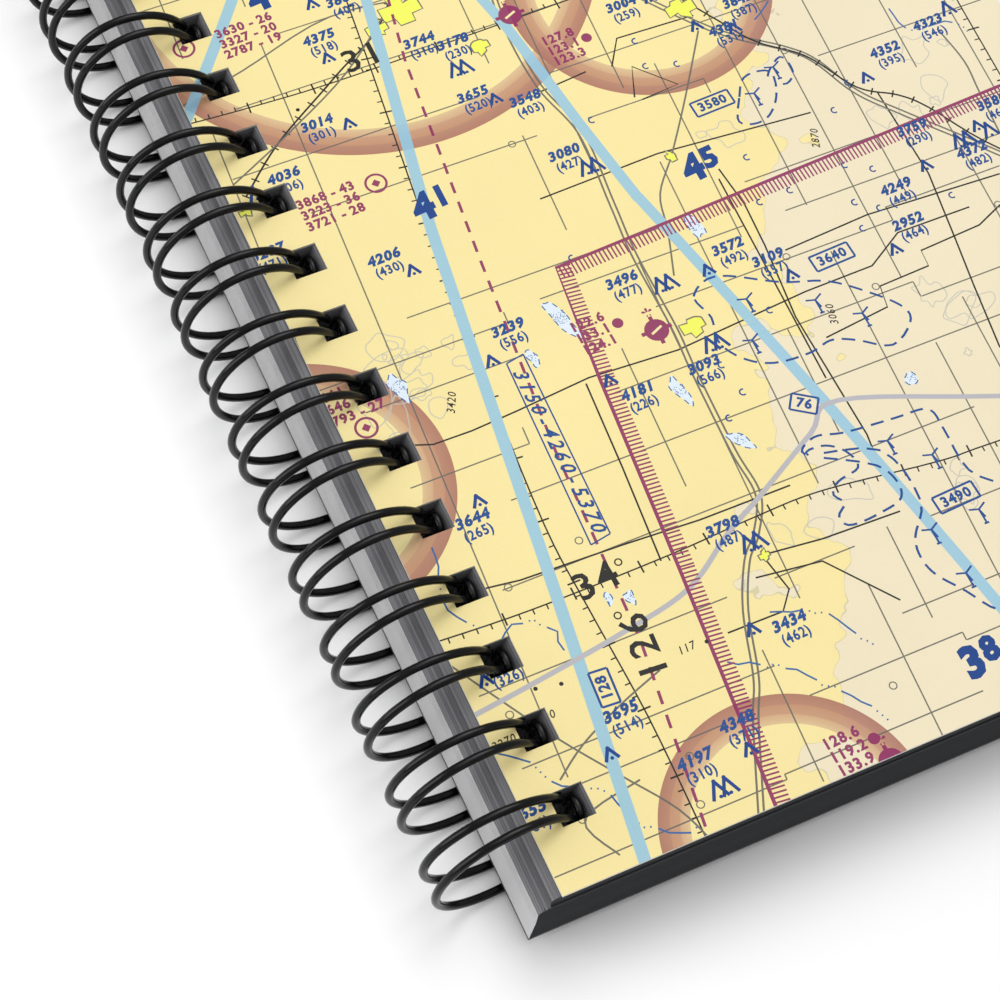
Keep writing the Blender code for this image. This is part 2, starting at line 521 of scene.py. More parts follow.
def draw_main_roads():
    """Main roads, railways and the ticked lines of the chart's own grid."""
    highway([(80, 216), (66, 180), (59, 156), (57.2, 144), (57.3, 131), (59.7, 119.7),
             (58.4, 104.8), (57.4, 94.1), (57.3, 79.4), (56.6, 70.6), (55.9, 55.5), (56, 47),
             (52.6, 41), (49.1, 37.3), (45.0, 29.8), (41.4, 19.3), (38.1, 13.0), (32.1, -0.4)])
    highway([(76, 150), (89.8, 131.3), (100.2, 122.4), (103.9, 117.9), (107.4, 109.5),
             (113.3, 101.9), (124.1, 88.9), (134, 76), (142, 68)])
    highway([(112, -2), (116, 30), (124, 58), (136, 78), (142, 84)])
    railway([(78, 156), (91.1, 133.8), (96.0, 125.8), (102.8, 119.6), (107.9, 110.4),
             (113.7, 106.3), (117.4, 102.0), (124.6, 89.8), (142, 70)])
    railway([(3, 129), (12, 137), (26, 146), (39, 155), (52, 176)])
    railway([(-2, 188), (6, 184), (20, 190), (40, 196), (66, 216)])
    grid_line([(-1.4, 146.2), (11.3, 145.4), (28.7, 145.0), (70, 146.0)], 1)
    grid_line([(40, 216), (34, 160), (28, 112), (25, 82.2), (22.8, 55), (23, 40), (23.6, 20),
               (23, -1)], -1)
    grid_line([(-1, 43.6), (15, 42.8), (38, 42.9), (53.7, 43.6), (65.7, 43.6), (85.4, 41),
               (96.3, 40.5), (142, 38)], -1)
    grid_line([(126, -1), (130, 60), (134, 130), (140, 216)], 1)
    for points in (
            [(-1, 40.7), (4.4, 31.2), (9.9, 21.9), (15.7, 13.4), (21.4, 5.0), (24.1, -2.8)],
            [(7.2, 16.2), (12.7, 19.9), (20.5, 23.4), (28.6, 26.2)],
            [(10.3, 2.3), (7.9, 9.2), (18.1, 11.6)],
            [(87.9, 131.5), (79.5, 119.7), (72.2, 110.1), (66.7, 103.5), (64.7, 96.6),
             (61.7, 88.2)],
            [(127.1, 115.7), (128.0, 108.2), (127.2, 101.5), (126.2, 92.6)],
            [(62, 216), (84, 186), (100, 160), (118, 138), (141, 130)],
            [(0, 150), (12, 153), (30, 158), (48, 156)],
            [(2, 132), (14, 138), (28, 146), (40, 156)],
            [(41, 155), (52, 160), (70, 160), (92, 168)]):
        road(points)


def draw_water_and_towns():
    for points in ([(0.2, 24.0), (4.3, 20.5), (6.9, 15.5), (12.0, 12.5), (15.0, 5.3),
                    (19.9, 2.0), (22.9, 1.4)],
                   [(38.5, 23.0), (45.3, 19.7), (50.2, 14.6), (55.9, 7.3), (56.4, 1.2)],
                   [(48.0, 28.5), (57.0, 23.7), (60.3, 17.2), (63.4, 13.9)],
                   [(120.8, 123.0), (122.9, 117.4), (129.8, 117.0), (131.8, 111.4)],
                   [(8.4, 40.1), (12.4, 41.6), (16.9, 38.7), (16.8, 34.8), (20.6, 30.5)],
                   [(5.6, 58.7), (4.1, 53.2), (3.4, 47.5), (7.3, 41.8)],
                   [(98, 130), (106, 134), (118, 133), (128, 139), (141, 138)],
                   [(70, 200), (82, 196), (96, 201), (110, 195), (128, 199)],
                   [(108, 20), (118, 26), (126, 24), (136, 30)]):
        stream(points)
    for at, size, stretch, turn in (
            ((69.1, 95.6), 1.9, 0.62, 0.15), ((88.7, 56.0), 1.3, 0.9, 0.3),
            ((53.0, 68.5), 1.8, 0.62, 0.1), ((41.0, 88.1), 2.4, 0.5, 0.35),
            ((33.8, 82.9), 1.3, 0.75, 0.1), ((57.8, 56.7), 1.5, 0.6, 0.6),
            ((26.6, 39.6), 1.0, 0.8, 0.0), ((29.7, 38.9), 1.1, 0.75, 0.0),
            ((11.6, 86.4), 2.2, 0.7, 0.1), ((112, 160), 2.4, 1.3, 0.5),
            ((30, 200), 2.0, 1.2, 0.2), ((84, 150), 1.6, 0.8, 0.2)):
        lake(at, size, stretch, turn)
    for at in ((76.7, 133.6), (76.1, 128.1), (81.3, 126.5), (62.6, 121.4), (83.6, 104.6),
               (87.3, 95.9), (102.0, 107.6), (106.9, 111.8), (81.5, 95.7), (102.4, 94.4),
               (96.3, 89.6), (98.3, 96.9), (99.7, 87.0), (95.1, 84.5), (112.3, 84.6),
               (61.3, 70.1), (58.0, 60.9), (62.2, 64.3), (73.3, 76.3), (47.7, 97.7)):
        stroke(circle(at, 0.55, 12)[2:11], 0.28, "blue")
    for at, size in (((60.5, 78.5), 2.5), ((52.1, 37.1), 1.2), ((71.9, 109.8), 1.2),
                     ((51.5, 142.6), 2.2), ((41.8, 155), 3.6), ((36.6, 152.6), 2.0),
                     ((2.0, 126.2), 1.2), ((87, 137), 2.6), ((120, 128), 1.6),
                     ((20.5, 186), 2.0), ((66, 196), 3.0), ((126, 14), 2.2)):
        town(at, size)


def draw_airways():
    """Airways, a route, a dashed line and a hatched boundary."""
    airway([(45.5, 206), (36.1, 152.5), (28.7, 112.4), (23.4, 73), (18.4, 35.9), (13.1, -1)])
    airway([(41.8, 216), (52, 170), (57.6, 143.8), (60.5, 120), (63, 104)])
    airway([(63, 104.5), (70.1, 73.5), (74.9, 51.5), (81.8, 15.3), (84.5, -1)])
    airway([(27, 182), (13.2, 164.1), (-1, 146.4)])
    airway([(45, 200), (80, 206), (141, 214)])
    stroke(spline([(-1, 30.4), (10.1, 31.7), (25.9, 33.9), (38.6, 36.6), (48.5, 42.7),
                   (56.4, 46.7), (68.8, 53.4), (75.8, 57.0), (100.3, 47.6), (141, 32)]), 0.85,
           "route")
    dashes([(45.5, 182), (38.3, 144.7), (33.6, 103.1), (29.9, 66), (28.0, 31.8), (23.4, -1)],
           0.5, "magenta", (2.75, 1.25))
    dashes([(-1, 190), (60, 193), (141, 199)], 0.6, "magenta", (3.6, 2.2, 0.8, 2.2))
    edge = [(141, 101.8), (44.4, 97), (42, 75.1), (38.8, 40), (36.4, 16.6), (34.6, -1)]
    stroke(edge, 0.6, "magenta")
    for a, b in zip(edge, edge[1:]):
        ticks([a, b], 0.74, 2.5, 0.3, "magenta", side=0.5)


def draw_windmills():
    """Windmills, with a dashed outline around each group."""
    for outline in (
            [(88.1, 116.2), (90.9, 119.7), (95.5, 119), (94, 113.8), (90, 110.3), (85.7, 111.4)],
            [(94.6, 118.2), (98.6, 121.2), (99.2, 117.5), (96.7, 115.6)],
            [(62.9, 83.4), (68.1, 85.5), (77.4, 80.4), (84.5, 77.7), (89.8, 73.3), (93.9, 68.5),
             (93.6, 65.4), (88.8, 62.7), (83.8, 65.8), (80, 67.4), (75.8, 66.6), (69.5, 67.1),
             (65.2, 69.7), (62.8, 74), (63.8, 78.8)],
            [(66.5, 50.0), (69.4, 50.7), (72.3, 48.6), (73.0, 45.1), (68.9, 44.1), (66.9, 42.3),
             (67.9, 40.3), (65.9, 38.5), (66.8, 36.5), (71.8, 36.5), (77, 38), (76, 44)],
            [(66.2, 50.3), (69.0, 52.6), (74, 51.4), (82.9, 50.6), (88.4, 50), (88.9, 45.7),
             (89, 37.7), (93.6, 30), (88, 12), (81.4, 14.5), (78, 19.6), (74.7, 24.8),
             (75, 30.2), (79.2, 36.1), (77.6, 46.4)],
            [(112, 160), (122, 168), (126, 178), (116, 182), (108, 172)]):
        dashes(spline(outline, closed=True, steps=4), 0.4, "blue", (2.4, 0.8))
    for at in ((90.8, 114.9), (96.4, 118.6), (70.7, 78.6), (68.0, 71.3), (81.1, 74.1),
               (87.1, 68.9), (79.5, 46.4), (84.9, 41.4), (78.3, 29.8), (79.6, 21.1), (87, 30),
               (116, 170), (120, 176)):
        windmill(at)


def draw_points():
    """Small open circles, points and the figures of contours."""
    for at in ((26.6, 50.6), (13.2, 47.6), (80.6, 84.4), (91.6, 73.6), (118.6, 80.0), (99.8, 122),
               (48, 122), (4.7, 28.5), (7.6, 9.4), (26.5, 12), (24.6, 4.6), (60, 10)):
        ring(at, 0.6, 0.2, "grey", 12)
    for at in ((17.5, 142), (37.2, 27.6), (10.0, 30.8), (13.9, 30.0)):
        fill(circle(at, 0.36, 8), "black")
    for at, text, turn in (((18.4, 80.4), "3420", 1.1), ((96.2, 103.6), "2870", 1.2),
                           ((82.4, 71.6), "3060", 1.35), ((2.0, 24.8), "3270", 0.05),
                           ((9.0, 26.0), "3390", 0.05), ((33.8, 27.8), "117", 0.05)):
        figures(text, at, 1.4, "black", turn, bold=0.01, slant=0.2, wide=0.92)


def draw_spot_heights():
    for at, mark, kind in (
            ((26.4, 154.6), (-0.1, -5.5), ""), ((19.2, 138.2), (5.1, -3.0), ""),
            ((10.1, 130.5), (-5.5, -2.9), "tall"), ((19.1, 109.5), (3.5, -5.0), ""),
            ((32.2, 89.6), (-4.8, -5.6), ""), ((12.8, 60.3), (2.3, 1.6), ""),
            ((55.2, 117.1), (3.1, -5.6), "twin"), ((53.8, 129.7), (-4.6, 0.9), ""),
            ((45.9, 133.8), (0.4, 4.4), "twin"), ((47.3, 145.2), None, ""),
            ((33.2, 160.7), (-5, 0), ""), ((42.0, 147.6), None, ""),
            ((53.2, 90.7), (6.4, -4.7), "twin"), ((72.3, 89.9), (-5.0, -3.8), ""),
            ((77.5, 85.4), (2.2, -5.4), ""), ((58.5, 71.2), (3.6, 1.6), "twin"),
            ((46.5, 70.9), (-3.2, 2.6), ""), ((48.1, 44.0), (3.3, -5.6), "twin"),
            ((50.2, 25.6), (-5.7, 0.1), ""), ((20.0, 22.4), (-4.2, -6.4), ""),
            ((35.3, 14.1), (-0.1, -5.6), ""), ((26.8, 11.2), (2.0, -7.0), "twin"),
            ((104.1, 89.7), (6.9, 0.9), ""), ((102.6, 82.8), (-4.5, -5.0), ""),
            ((116.1, 115.6), (-5.7, -5.0), ""), ((112.5, 99.3), (7.1, -6.9), "twin"),
            ((119.8, 91.4), (5.0, 1.1), "tall"), ((128.0, 98.8), (-4.7, -4.4), ""),
            ((92.1, 130.3), (-4.2, 1.3), ""), ((97.1, 134.8), (-3.2, -6.1), ""),
            ((77.7, 141.6), (5.4, -1.5), ""), ((0.7, 13.6), None, ""),
            ((6.9, 36.4), (-3.3, -2.4), ""), ((2.0, 117.6), None, ""),
            ((112, 12), (-4.6, 0), "twin"), ((104, 36), (4.8, -1), ""),
            ((128, 46), (-4.8, -1), "tall"), ((131, 72), (4.8, -1), "twin"),
            ((126, 118), (4.8, 0), "tall"), ((110, 148), (-4.8, -2), ""),
            ((86, 176), (4.8, -1), "twin"), ((72, 166), (-4.8, -1), "tall"),
            ((56, 182), (4.8, -1), ""), ((40, 172), (-4.8, -2), "tall"),
            ((30, 210), (4.8, -1), ""), ((10, 202), (4.8, -2), "tall"),
            ((90, 206), (4.8, -1), "twin"), ((116, 184), (-4.8, -1), "tall"),
            ((130, 206), (-4.8, -1), ""), ((132, 160), (-4.8, -1), "twin")):
        spot_height(at, mark, tall=kind != "", twin=kind == "twin")


def draw_airports():
    """Airports and private fields with their rows of figures, and the framed figures."""
    for at, text_at in (((54.5, 80), (44.6, 85.6)), ((59, 146.8), (64.6, 139.4)),
                        ((16, 176), (24, 178)), ((124, 30), (131, 32)),
                        ((54, -0.6), (48.6, 5.6)), ((100, 168), (108, 171)),
                        ((76, 186), (82, 190))):
        airport(at)
        rows_of_figures(text_at, "%d.%d", (118, 135), (1, 9), 0.1)
        fill(circle(Vector(text_at) + Vector((4.6, -2.0)), 0.95, 16), "magenta")
    for at, text_at in (((23.8, 123.4), (15.1, 124.3)), ((124.8, 82.6), (131.6, 80)),
                        ((90, 196), (96, 193)), ((4.2, 81.5), (3.4, 89.0)),
                        ((130, 178), (124, 181)), ((4.5, 161), (15.6, 161.8))):
        private_field(at)
        rows_of_figures(text_at, "%d - %d", (2600, 3990), (18, 44), 0.0)
    for at, text, turn in (((83.2, 116.8), "3580", 0.05), ((87.6, 81.5), "3640", 0.05),
                           ((84.7, 34.3), "3490", 0.05), ((19.6, 26.9), "128", 1.5),
                           ((70.3, 58.6), "76", -0.6), ((98, 210), "3720", 0.05),
                           ((12, 194), "3810", 0.05), ((124, 146), "3560", 0.05)):
        boxed(text, at, turn)


def draw_large_figures():
    """The big figures of each quadrangle, and of the lines that bound them."""
    for at, text in (((29.0, 115.9), "41"), ((74.0, 105.9), "45"), ((73.0, 8.4), "38"),
                     ((60, 164), "44"), ((112, 134), "42"), ((20, 166), "40"), ((122, 20), "37"),
                     ((108, 196), "39")):
        figures(text[0], at, 5.0, "navy", 0.1, bold=0.055, slant=0.1)
        figures(text[1], Vector(at) + Vector((3.5, 1.0)), 3.9, "navy", 0.1, bold=0.055,
                slant=0.1)
    figures("31", (31.7, 147.9), 4.6, "black", 0.06, bold=0.012, slant=0.05, wide=1.1)
    figures("34", (26.0, 43.2), 4.6, "black", 0.08, bold=0.012, wide=1.1)
    ring((30.6, 44.9), 0.55, 0.24, "black", 14)
    figures("126", (28.2, 30.6), 4.6, "black", 1.5, bold=0.012, wide=1.1)
    ring((26.6, 36.8), 0.55, 0.24, "black", 14)
    label = [(29.4, 83.6), (32.6, 84.2), (31.6, 49.8), (28.0, 49.2), (29.4, 83.6)]
    frame_lines(label, 0.26, "blue")
    for i, text in enumerate("3150-4260-5370"):
        figures(text, (30.6 - 0.03 * i, 81.0 - 2.25 * i), 2.4, "blue", -1.62, bold=0.02,
                slant=0.3)


def draw_chart():
    """Fills ink_polygons with all that is printed on the cover, the lowest layer first."""
    draw_contours()
    draw_section_roads()
    draw_main_roads()
    draw_water_and_towns()
    draw_airways()
    draw_windmills()
    draw_points()
    draw_spot_heights()
    draw_airports()
    draw_large_figures()


# ---- front cover ----

# the chart's shaded rings: centre, outer radius, inner radius
RINGS = (((38.5, 171.0), 44.0, 38.8), ((-8.5, 74.4), 23.0, 17.6), ((36.5, -4.0), 20.8, 16.0),
         ((82.5, 144.5), 23.7, 18.5), ((130.0, 40.0), 21.0, 15.6), ((100.0, 200.0), 24.0, 18.6))


def cover_material():
    """Card with the chart's tints, and the inks of the print over them."""
    m = Nodes("chart_print", 0.42, Specular_IOR_Level=0.18)
    place = m.add("SeparateXYZ", {0: m.place()})
    u = m.math("MULTIPLY", m.math("SUBTRACT", place.outputs[0], SPINE_X), 1 / MM)
    v = m.math("MULTIPLY", m.math("SUBTRACT", place.outputs[1], FOOT_Y), 1 / MM)

    # elevation tint: cream-yellow, with paler ground to the right of a wandering line
    wander = m.math("MULTIPLY_ADD", m.noise(70.0, 3.0), 60.0, -30.0)
    line = m.math("MULTIPLY_ADD", v, 0.40, 43.0)
    past = m.math("SUBTRACT", m.math("ADD", u, wander), line)
    pale = m.math("MULTIPLY", past, 12.0, clamp=True)
    base = m.mix(pale, srgb("#F1E09E"), srgb("#E9DDBD"))
    outline = m.math("LESS_THAN", m.math("ABSOLUTE", past), 0.16)
    base = m.mix(m.math("MULTIPLY", outline, 0.6), base, srgb("#BDB89E"))

    # shaded rings, darker towards their outer edge
    for (cu, cv), outer, inner in RINGS:
        du, dv = m.math("SUBTRACT", u, cu), m.math("SUBTRACT", v, cv)
        away = m.math("SQRT", m.math("ADD", m.math("MULTIPLY", du, du),
                                     m.math("MULTIPLY", dv, dv)))
        across = m.math("DIVIDE", m.math("SUBTRACT", away, inner), outer - inner)
        inside = m.math("MULTIPLY", m.math("GREATER_THAN", across, 0.0),
                        m.math("LESS_THAN", across, 1.0))
        shade = m.ramp(across, [(0.0, srgb("#D6B98E")), (0.3, srgb("#CBA07C")),
                                (0.32, srgb("#BE8F73")), (0.62, srgb("#BA8568")),
                                (0.65, srgb("#AE7765")), (1.0, srgb("#A56A5C"))])
        base = m.mix(m.math("MULTIPLY", inside, 0.92), base, shade)

    # inks: a colour on each printed face
    ink = m.add("VertexColor", layer_name="ink")
    base = m.mix(ink.outputs["Alpha"], base, ink.outputs["Color"])
    tone = m.ramp(m.noise(30.0, 2.0), [(0.3, grey(0.965)), (0.7, grey(1.0))])
    base = m.mix(1.0, base, tone, "MULTIPLY")
    fibre = m.ramp(m.noise(2600.0, 3.0), [(0.3, grey(0.975)), (0.7, grey(1.0))])
    m.colour(m.mix(1.0, base, fibre, "MULTIPLY"))
    m.rough(m.ramp(m.noise(420.0, 3.0), [(0.3, grey(0.38)), (0.7, grey(0.47))]))
    m.bump(m.noise(1500.0, 3.0), 0.08, 0.00004)
    return m.material


def plain_card():
    """The unprinted card seen at the cover's edges and on its inside."""
    m = Nodes("plain_card", 0.6)
    m.colour(m.ramp(m.noise(900.0, 4.0), [(0.3, srgb("#DAD8D0")), (0.7, srgb("#E6E4DD"))]))
    m.bump(m.noise(1500.0, 3.0), 0.08, 0.00004)
    return m.material


NEAR = 1e-4                      # points closer than this, in mm, are one


def printed_sheet(name, low, high, holes, materials):
    """A card whose upper face is split along the outlines of the print, so that each ink has
    its own faces, with the card's holes cut through it.  low and high are its corners."""
    draw_chart()
    size = Vector((WIDTH, LENGTH))
    points, shapes, kinds = [], [], []

    def clipped(shape):
        """The polygon cut to the card's outline."""
        for axis, limit, sign in ((0, 0.0, 1), (0, size.x, -1), (1, 0.0, 1), (1, size.y, -1)):
            out = []
            for a, b in zip(shape, shape[1:] + shape[:1]):
                da, db = sign * (a[axis] - limit), sign * (b[axis] - limit)
                if da >= 0:
                    out.append(a)
                if (da >= 0) != (db >= 0):
                    out.append(a + (b - a) * (da / (da - db)))
            shape = out
            if len(shape) < 3:
                return []
        return shape

    def add(shape, kind):
        area = sum(a.x * b.y - b.x * a.y for a, b in zip(shape, shape[1:] + shape[:1]))
        if abs(area) < NEAR:
            return
        shape = shape if area > 0 else shape[::-1]
        shapes.append(list(range(len(points), len(points) + len(shape))))
        points.extend(shape)
        kinds.append(kind)

    add([Vector((0, 0)), Vector((size.x, 0)), size.copy(), Vector((0, size.y))], "paper")
    for outline, ink in ink_polygons:
        shape = clipped(outline)
        if shape:
            add(shape, ink)
    half = HOLE / 2
    for k in holes:
        v = hole_v(k)
        add([Vector((HOLE_U + a * half, v + b * half))
             for a, b in ((-1, -1), (1, -1), (1, 1), (-1, 1))], "hole")

    def holds(index, point):
        """Whether the point is inside that polygon."""
        inside = False
        shape = [points[i] for i in shapes[index]]
        for a, b in zip(shape, shape[1:] + shape[:1]):
            if (a.y > point.y) != (b.y > point.y):
                if point.x < a.x + (b.x - a.x) * (point.y - a.y) / (b.y - a.y):
                    inside = not inside
        return inside

    made = delaunay_2d_cdt(points, [], shapes, 1, NEAR)
    out_points, out_faces, sources = made[0], made[2], made[5]
    bm = bmesh.new()
    ink_layer = bm.loops.layers.float_color.new("ink")
    verts = [bm.verts.new((low.x + p.x * MM, low.y + p.y * MM, high.z)) for p in out_points]
    for indices, source in zip(out_faces, sources):
        middle = sum((out_points[i] for i in indices), Vector((0, 0))) / len(indices)
        over = next((i for i in sorted(source, reverse=True) if holds(i, middle)), None)
        if over is None or kinds[over] == "hole":
            continue
        face = bm.faces.new([verts[i] for i in indices])
        code, strength = INKS[kinds[over]]
        colour = (*srgb(code), strength)
        for loop in face.loops:
            loop[ink_layer] = colour
    bmesh.ops.delete(bm, geom=[v for v in bm.verts if not v.link_faces], context="VERTS")
    bmesh.ops.recalc_face_normals(bm, faces=bm.faces)
    if sum(f.normal.z * f.calc_area() for f in bm.faces) < 0:
        bmesh.ops.reverse_faces(bm, faces=bm.faces)

    # walls and underside
    rim = [e for e in bm.edges if len(e.link_faces) == 1]
    walls = bmesh.ops.extrude_edge_only(bm, edges=rim)["geom"]
    lower = [g for g in walls if isinstance(g, bmesh.types.BMVert)]
    bmesh.ops.translate(bm, verts=lower, vec=(0, 0, low.z - high.z))
    spots = {v: i for i, v in enumerate(lower)}
    below = [[spots[v] for v in g.verts] for g in walls if isinstance(g, bmesh.types.BMEdge)
             and all(v in spots for v in g.verts)]
    made = delaunay_2d_cdt([(v.co.xy - low.xy) / MM for v in lower], below, [], 0, NEAR)
    corners, faces, origins = made[0], made[2], made[3]
    for indices in faces:
        middle = sum((corners[i] for i in indices), Vector((0, 0))) / len(indices)
        row = round((middle.y - hole_v(0)) / PITCH)
        in_hole = abs(middle.x - HOLE_U) < half and abs(middle.y - hole_v(row)) < half
        if not (row in holes and in_hole):
            bm.faces.new([lower[origins[i][0]] for i in indices])
    bmesh.ops.recalc_face_normals(bm, faces=bm.faces)
    for face in bm.faces:
        face.material_index = 0 if face.calc_center_median().z > high.z - 1e-6 else 1
    mesh = bpy.data.meshes.new(name)
    bm.to_mesh(mesh)
    bm.free()
    return new_object(name, mesh, *materials)


# ---- leaves ----

FIRST_LEAVES, SECOND_LEAVES = 22, 10
FAN_GROUPS, FAN_LEAVES, REST_SECTIONS = 6, 5, 10
FOOT_INSET = 0.25 * MM           # the first leaves lie a little short of the rest at the foot
FANNED_Z = 13.9 * MM             # the leaves above this have slid out of line
ACROSS_JITTER, ALONG_JITTER = 0.09 * MM, 0.02 * MM
SHEET_SHARE = 0.9                # of a leaf's share of the stack; the rest is air
SPINE_SHADE_REACH = 5.5 * MM                # the grey strip of painted shade along the spine ends this far past the holes
ROW, COLUMN = 6.4, 19.0          # spacing of the page's rules, in mm
END_SHADE_WIDTH = 0.3                        # width of the painted shade along each page's foot and head, in mm

# (height, offset) in mm: how far a sheet's spine edge stands out past the front cover's, and
# how far its hole row does, because the rows follow the rings
SLIDE = [(2.8, -4.3), (10.0, -3.6), (13.95, -3.5), (14.6, -2.9), (15.1, -1.65), (15.2, -1.5),
         (17.2, -1.45), (17.84, -0.15)]
LEAN = [(2.8, -4.9), (3.4, -4.85), (4.2, -3.95), (5.5, -3.1), (7.5, -2.1), (10.0, -1.4),
        (12.5, -1.2), (15.2, -1.1), (17.85, -0.35)]


def read_table(table):
    """The offset at a height as a function, straight between the table's rows."""
    def at(z):
        z = z / MM
        if z <= table[0][0]:
            return table[0][1] * MM
        for (z0, x0), (z1, x1) in zip(table, table[1:]):
            if z <= z1:
                return (x0 + (x1 - x0) * (z - z0) / (z1 - z0)) * MM
        return table[-1][1] * MM
    return at


def leaf_material():
    """Paper: a grey strip of painted shade along the spine, ruled pale page beyond it, a dark
    band of painted shade at foot and head, each leaf a shade of its own.
    """
    m = Nodes("leaf_paper", 0.8, Specular_IOR_Level=0.2)
    place = m.add("SeparateXYZ", {0: m.place()})
    # painted shade: mid grey over the page near the spine, where the fanned leaves' flats lie in
    # shade; pale ruled page past it
    spine_shade = m.math("MULTIPLY", m.math("SUBTRACT", place.outputs[0], HOLE_X + SPINE_SHADE_REACH), 9000.0,
                    clamp=True)
    row = m.math("PINGPONG", m.math("MULTIPLY", place.outputs[1], 1 / MM), ROW / 2)
    column = m.math("PINGPONG", m.math("MULTIPLY", m.math("ADD", place.outputs[0], 4 * MM),
                                       1 / MM), COLUMN / 2)
    ruled = m.math("MAXIMUM", m.math("LESS_THAN", row, 0.09), m.math("LESS_THAN", column, 0.11))
    page = m.mix(m.math("MULTIPLY", ruled, 0.75), srgb("#E9E8E2"), srgb("#8FA3B4"))
    base = m.mix(spine_shade, srgb("#77777A"), page)
    # painted shade: a dark band along the page's foot and head, matching the shaded ends of the
    # block
    inward = m.math("SUBTRACT", LENGTH / 2 - END_SHADE_WIDTH,
                    m.math("MULTIPLY", m.math("ABSOLUTE", place.outputs[1]), 1 / MM))
    rim = m.math("LESS_THAN", inward, 0.0)
    base = m.mix(rim, base, srgb("#3A3B3D"))
    tone = m.add("VertexColor", layer_name="tone").outputs["Color"]
    base = m.mix(1.0, base, tone, "MULTIPLY")
    fibre = m.ramp(m.noise(1800.0, 3.0), [(0.3, grey(0.94)), (0.7, grey(1.0))])
    m.colour(m.mix(1.0, base, fibre, "MULTIPLY"))
    m.bump(m.noise(1500.0, 2.0), 0.1, 0.00003)
    return m.material


def edge_material(name, dark, light):
    """The cut edges of the leaves: fine lines along the block."""
    m = Nodes(name, 0.8, Specular_IOR_Level=0.1)
    lines = m.noise(1.0, 2.0, stretch=(6.0, 6.0, 9000.0))
    shade = m.ramp(lines, [(0.3, srgb(dark)), (0.7, srgb(light))])
    tone = m.add("VertexColor", layer_name="tone").outputs["Color"]
    m.colour(m.mix(1.0, shade, tone, "MULTIPLY"))
    return m.material


def back_material():
    """Dark unprinted card."""
    m = Nodes("back_card", 0.5)
    m.colour(m.ramp(m.noise(220.0, 4.0), [(0.3, srgb("#2A2A2C")), (0.7, srgb("#37373A"))]))
    m.bump(m.noise(900.0, 3.0), 0.15, 0.00005)
    return m.material


def plate(bm, low, high, foot, head, hole_long, tone):
    """One sheet, or a squared-up block of them, with its row of holes: a closed box with square
    tunnels.  low and high are (z, spine x, hole row x) of its two flat faces.  The flat faces
    take material 0, the spine edge and the tunnels 1, and the other edges 2."""
    layer = bm.loops.layers.float_color["tone"]

    def face(corners, slot):
        made = bm.faces.new(corners)
        made.material_index = slot
        for loop in made.loops:
            loop[layer] = (tone, tone, tone, 1.0)

    ys = [foot]
    for k in range(LOOPS):
        middle = FOOT_Y + hole_v(k) * MM
        ys += [middle - hole_long * MM / 2, middle + hole_long * MM / 2]
    ys.append(head)
    layers = []
    for z, spine, row in (low, high):
        xs = [spine, row - HOLE * MM / 2, row + HOLE * MM / 2, spine + WIDTH * MM]
        layers.append([[bm.verts.new((x, y, z)) for y in ys] for x in xs])
    across, along = len(xs) - 1, len(ys) - 1

    def solid(i, j):
        return 0 <= i < across and 0 <= j < along and not (i == 1 and j % 2 == 1)

    for i in range(across):
        for j in range(along):
            if not solid(i, j):
                continue
            for side, level in enumerate(layers):
                corners = [level[i][j], level[i + 1][j], level[i + 1][j + 1], level[i][j + 1]]
                face(corners if side else corners[::-1], 0)
            for di, dj, a, b in ((-1, 0, (i, j), (i, j + 1)), (1, 0, (i + 1, j + 1), (i + 1, j)),
                                 (0, -1, (i + 1, j), (i, j)), (0, 1, (i, j + 1), (i + 1, j + 1))):
                if not solid(i + di, j + dj):
                    end = not 0 <= j + dj < along or i + di == across
                    face([layers[0][a[0]][a[1]], layers[1][a[0]][a[1]],
                          layers[1][b[0]][b[1]], layers[0][b[0]][b[1]]], 2 if end else 1)


def sheets(node, body, count, materials, hole_long):
    """The node's stack: that many separate leaves, the upper ones each a little out of line, or
    one squared-up plate where count is 1."""
    low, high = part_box(node)
    bm = bmesh.new()
    bm.loops.layers.float_color.new("tone")
    step = (high.z - low.z) / count
    for i in range(count):
        z0 = low.z + i * step
        z1 = z0 + step * (SHEET_SHARE if count > 1 else 1.0)
        loose = z0 > FANNED_Z
        jitter = leaf_rng.uniform(-1, 1) * (ACROSS_JITTER if loose else 0.0)
        foot = leaf_rng.uniform(-1, 1) * (ALONG_JITTER if loose else 0.0)
        tone = leaf_rng.uniform(0.74, 1.0) if loose else leaf_rng.uniform(0.97, 1.0)
        low_face, high_face = ((z, SPINE_X + slide_at(z) + jitter, HOLE_X + lean_at(z))
                               for z in (z0, z1))
        inset = FOOT_INSET if node == "leaves_first" else 0.0
        plate(bm, low_face, high_face, FOOT_Y + foot + inset, HEAD_Y + foot, hole_long, tone)
    mesh = bpy.data.meshes.new(node + "_sheets")
    bm.to_mesh(mesh)
    bm.free()
    obj = new_object(node + "_sheets", mesh, *materials)
    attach(obj, body)
    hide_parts(node)


# ---- wire ----

def wire_material():
    """Black nylon coating over steel: glossy, with a faint unevenness."""
    m = Nodes("black_wire", 0.2, Specular_IOR_Level=0.26)
    m.colour(m.ramp(m.noise(700.0, 3.0), [(0.3, srgb("#050505")), (0.7, srgb("#0C0C0D"))]))
    m.rough(m.ramp(m.noise(380.0, 4.0), [(0.35, grey(0.12)), (0.7, grey(0.24))]))
    m.bump(m.noise(1100.0, 2.0), 0.08, 0.00006)
    return m.material


